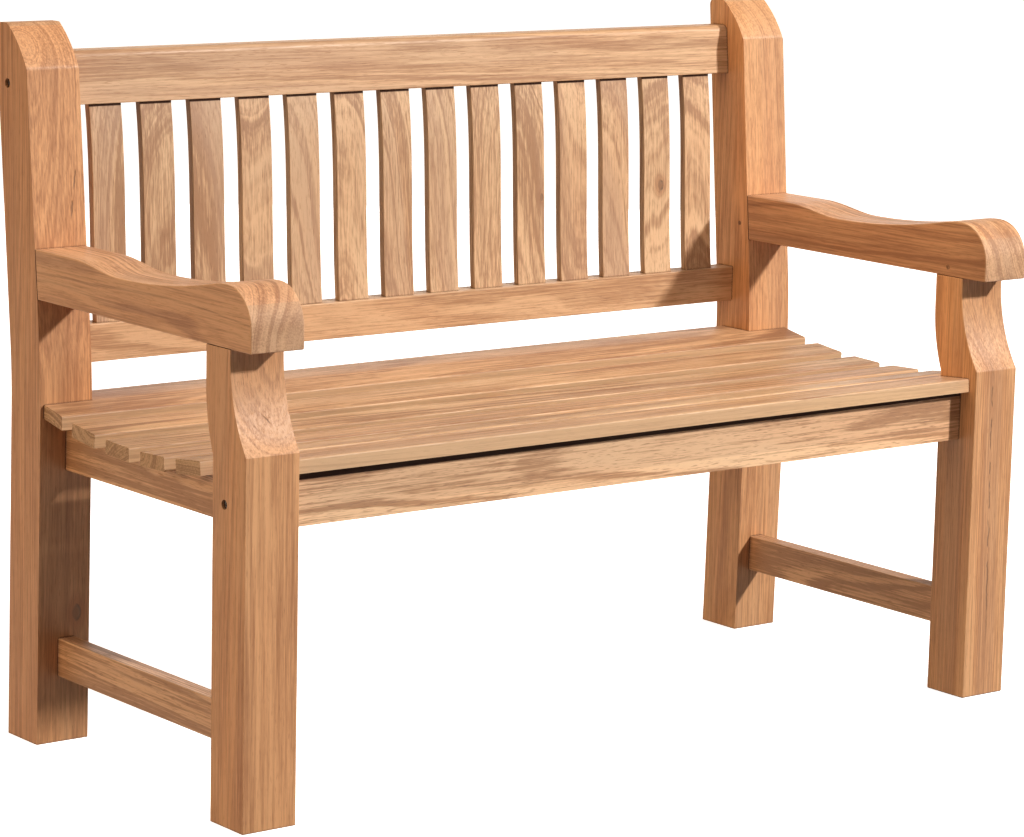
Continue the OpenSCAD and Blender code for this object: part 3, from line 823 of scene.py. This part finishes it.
# The lamps face this point
MIDDLE = Vector((0, 0, 0.45))
KEY_PLACE = (3.45, -4.55, 3.49)
KEY_SIZE = 0.4
WHITE = (1.0, 1.0, 1.0)
GLOW = (1.0, 0.76, 0.49)
SKY = (0.94, 0.97, 1.0)
FROM_BELOW = (0.045, 0.034, 0.025, 1)
FROM_ABOVE = (0.40, 0.345, 0.28, 1)
CAMERA_PLACE = (-2.996, -3.856, 1.290)
# Turn about the bench, height above the horizon and tilt of the camera
AZIMUTH, RISE, ROLL = math.radians(-37.67), math.radians(10.38), math.radians(1.26)
LENS, SENSOR = 132.4, 36
VIEW_GAMMA = 0.87


def make_floor():
    """A wide pale floor."""
    bm = bmesh.new()
    bmesh.ops.create_grid(bm, x_segments=1, y_segments=1, size=FLOOR_HALF)
    mesh = bpy.data.meshes.new("floor")
    bm.to_mesh(mesh)
    bm.free()
    floor = bpy.data.objects.new("floor", mesh)
    bpy.context.scene.collection.objects.link(floor)
    material, _, shader = new_material("floor_paint")
    shader.inputs["Base Color"].default_value = (0.9, 0.9, 0.9, 1)
    shader.inputs["Roughness"].default_value = 0.9
    shader.inputs["Specular IOR Level"].default_value = 0.1
    shader.inputs["Emission Color"].default_value = (1, 1, 1, 1)
    shader.inputs["Emission Strength"].default_value = 0.80
    mesh.materials.append(material)
    floor.visible_diffuse = False


def area_light(name, place, size, power, colour=WHITE):
    """A square lamp at place that faces the bench."""
    data = bpy.data.lights.new(name, "AREA")
    data.size = size
    data.energy = power
    data.color = colour
    lamp = bpy.data.objects.new(name, data)
    lamp.location = place
    lamp.rotation_euler = (Vector(place) - MIDDLE).to_track_quat("Z", "Y").to_euler()
    bpy.context.scene.collection.objects.link(lamp)
    return lamp


def group_of(name, pieces, state="INCLUDE"):
    """A collection that tells a lamp which pieces it lights or is blocked by."""
    made = bpy.data.collections.new(name)
    for piece in pieces:
        made.objects.link(piece)
    for entry in made.collection_objects:
        entry.light_linking.link_state = state
    return made


def light_only(lamp, pieces):
    """Makes a lamp light some pieces, which alone cast its shadows."""
    lamp.light_linking.receiver_collection = group_of(lamp.name + "_lights", pieces)
    lamp.light_linking.blocker_collection = group_of(lamp.name + "_blockers", pieces)


def make_lights():
    """A small key lamp from the front right, and wide fills. The arms cast no shadow on the seat."""
    seat = [piece for node, piece in WOOD.items() if node.startswith("seat_slat")]
    right_end = [WOOD[node] for node in ("leg_front_right", "leg_back_right", "stretcher_right")]
    key = area_light("key", KEY_PLACE, KEY_SIZE, 425)
    key.light_linking.receiver_collection = group_of("not_the_seat", seat, "EXCLUDE")
    light_only(area_light("seat_key", KEY_PLACE, KEY_SIZE, 415), seat)
    area_light("fill_left", (-8, 0.6, 1.9), 4.5, 290, GLOW)
    area_light("fill_top", (0, -0.5, 3.5), 3.0, 36)
    area_light("fill_front", (-1, -4.5, 1.6), 2.5, 5)
    light_only(area_light("bounce", (-3, 0.2, 0.6), 2.0, 24, GLOW), right_end)
    area_light("sheen", (2.8, 4.2, 1.5), 3.0, 40, SKY)


def make_camera():
    """The camera of the photograph: a long lens, low on the left of the front."""
    level = math.cos(RISE)
    back = Vector((math.sin(AZIMUTH) * level, -math.cos(AZIMUTH) * level, math.sin(RISE)))
    right = Vector((math.cos(AZIMUTH), math.sin(AZIMUTH), 0))
    up = back.cross(right)
    tilted = right * math.cos(ROLL) + up * math.sin(ROLL)
    upright = up * math.cos(ROLL) - right * math.sin(ROLL)
    data = bpy.data.cameras.new("camera")
    data.sensor_width = SENSOR
    data.lens = LENS
    camera = bpy.data.objects.new("camera", data)
    turn = Matrix((tilted, upright, back)).transposed().to_4x4()
    camera.matrix_world = Matrix.Translation(CAMERA_PLACE) @ turn
    bpy.context.scene.collection.objects.link(camera)
    bpy.context.scene.camera = camera


def make_world():
    """Soft warm light from above, dim from below, before a white backdrop."""
    world = bpy.data.worlds.new("studio")
    world.use_nodes = True
    t = Tree(world.node_tree)
    height = t.split(t.node("ShaderNodeTexCoord").outputs["Generated"])[2]
    light = t.mix(t.spread(height, -0.2, 0.7), FROM_BELOW, FROM_ABOVE)
    light = t.mix(t.node("ShaderNodeLightPath").outputs["Is Camera Ray"], light, (1, 1, 1, 1))
    t.feed(world.node_tree.nodes["Background"].inputs["Color"], light)
    bpy.context.scene.world = world


make_floor()
make_world()
make_lights()
make_camera()
bpy.context.scene.view_settings.view_transform = "Standard"
bpy.context.scene.view_settings.gamma = VIEW_GAMMA
